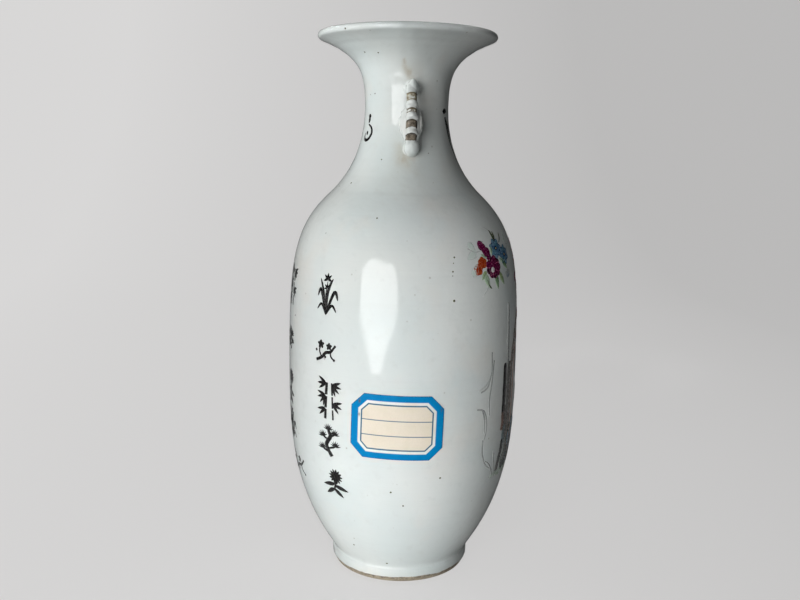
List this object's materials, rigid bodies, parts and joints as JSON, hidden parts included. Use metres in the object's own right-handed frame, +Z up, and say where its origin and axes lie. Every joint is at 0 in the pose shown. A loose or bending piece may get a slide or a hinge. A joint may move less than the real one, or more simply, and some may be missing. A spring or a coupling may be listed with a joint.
{
  "type": "vase",
  "caption": "Tall baluster vase with a trumpet mouth, small scroll ears on the neck, a turned foot ring and a paper label on the belly.",
  "frame": {"origin": "centre of the face that the foot ring rests on", "axes": "+Z up along the vase's axis; the ears lie along X, the left one towards -X with the paper label under it; the painted front faces -Y"},
  "size_m": [0.1003, 0.0998, 0.23],
  "materials": {
    "glazed_porcelain": "gloss",
    "fired_slip": "matte",
    "label_paper": "matte"
  },
  "bodies": {
    "root": {"lower_body": "glazed_porcelain", "belly_slip": "fired_slip", "upper_body": "glazed_porcelain", "neck_slip": "fired_slip", "neck_and_mouth": "glazed_porcelain", "ear_left": "glazed_porcelain", "ear_left_upper_slip": "fired_slip", "ear_left_lower_slip": "fired_slip", "ear_right": "glazed_porcelain", "ear_right_upper_slip": "fired_slip", "ear_right_lower_slip": "fired_slip", "price_label": "label_paper"}
  },
  "joints": []
}
